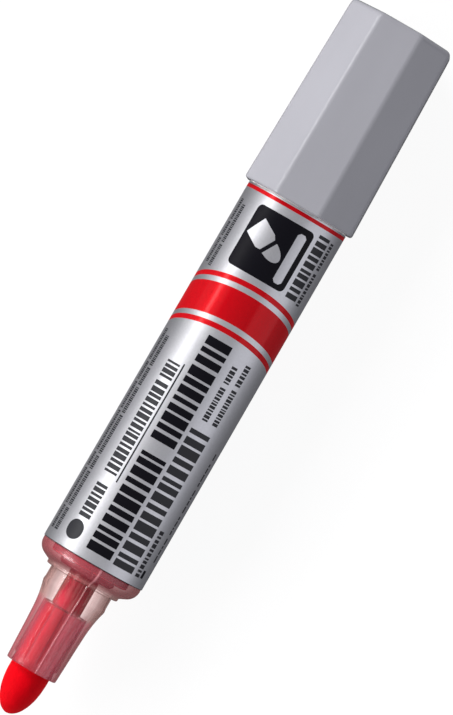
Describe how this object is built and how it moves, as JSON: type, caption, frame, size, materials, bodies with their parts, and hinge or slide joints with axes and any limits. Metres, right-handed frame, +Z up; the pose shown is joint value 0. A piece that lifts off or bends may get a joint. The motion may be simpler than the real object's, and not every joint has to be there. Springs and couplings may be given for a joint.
{
  "type": "whiteboard marker",
  "caption": "Pump-action whiteboard marker: a grey octagonal cap posted on the tail, a foil-labelled barrel, a clear ribbed neck and a red bullet nib.",
  "frame": {"origin": "on the surface the marker lies on, under the middle of its posted length and under its axis", "axes": "+X along the marker's axis from the nib towards the cap's closed end, +Z up from the surface it lies on"},
  "size_m": [0.128, 0.0198, 0.0197],
  "materials": {
    "cap_grey": "moulded satin grey plastic",
    "liner_white": "natural white soft plastic",
    "barrel_white": "plain white plastic under the label",
    "label_foil": null,
    "clear_plastic": "clear plastic stained pink by the ink",
    "red_felt": "compressed fibre soaked in red ink",
    "natural_plastic": "unpigmented plastic",
    "black_rubber": "soft black rubber",
    "spring_steel": "bright stainless spring wire",
    "tail_grey": "moulded satin grey plastic",
    "button_red": "moulded red plastic"
  },
  "bodies": {
    "barrel": {"barrel_tube": "barrel_white", "label_sleeve": "label_foil", "front_section": "clear_plastic", "front_gasket": "black_rubber", "nib": "red_felt", "ink_wick": "red_felt", "valve_spring": "spring_steel", "valve_seat": "natural_plastic", "valve_cage": "natural_plastic", "tail_plug": "tail_grey", "tail_gasket": "black_rubber", "pump_bellows": "black_rubber", "bellows_ring": "natural_plastic", "button_spring": "spring_steel", "button_collar": "tail_grey"},
    "cap": {"cap_shell": "cap_grey", "cap_inner_cup": "liner_white"},
    "pump": {"pump_button": "button_red", "push_rod": "natural_plastic"},
    "valve": {"valve_plug": "natural_plastic", "valve_washer": "black_rubber"}
  },
  "joints": [
    {"name": "cap_pull", "type": "slide", "parent": "barrel", "child": "cap", "axis": [1, 0, 0], "range_m": [0, 0.045]},
    {"name": "pump_press", "type": "slide", "parent": "barrel", "child": "pump", "axis": [-1, 0, 0], "range_m": [0, 0.0025], "stiffness_N_per_m": 300, "springref_m": -0.003, "deforming": ["button_spring", "pump_bellows"]},
    {"name": "valve_open", "type": "slide", "parent": "barrel", "child": "valve", "axis": [-1, 0, 0], "range_m": [0, 0.0025], "stiffness_N_per_m": 120, "springref_m": -0.003, "deforming": ["valve_spring"]}
  ],
  "couplings": [
    {"joint": "valve_open", "follows": "pump_press", "ratio": 1}
  ]
}
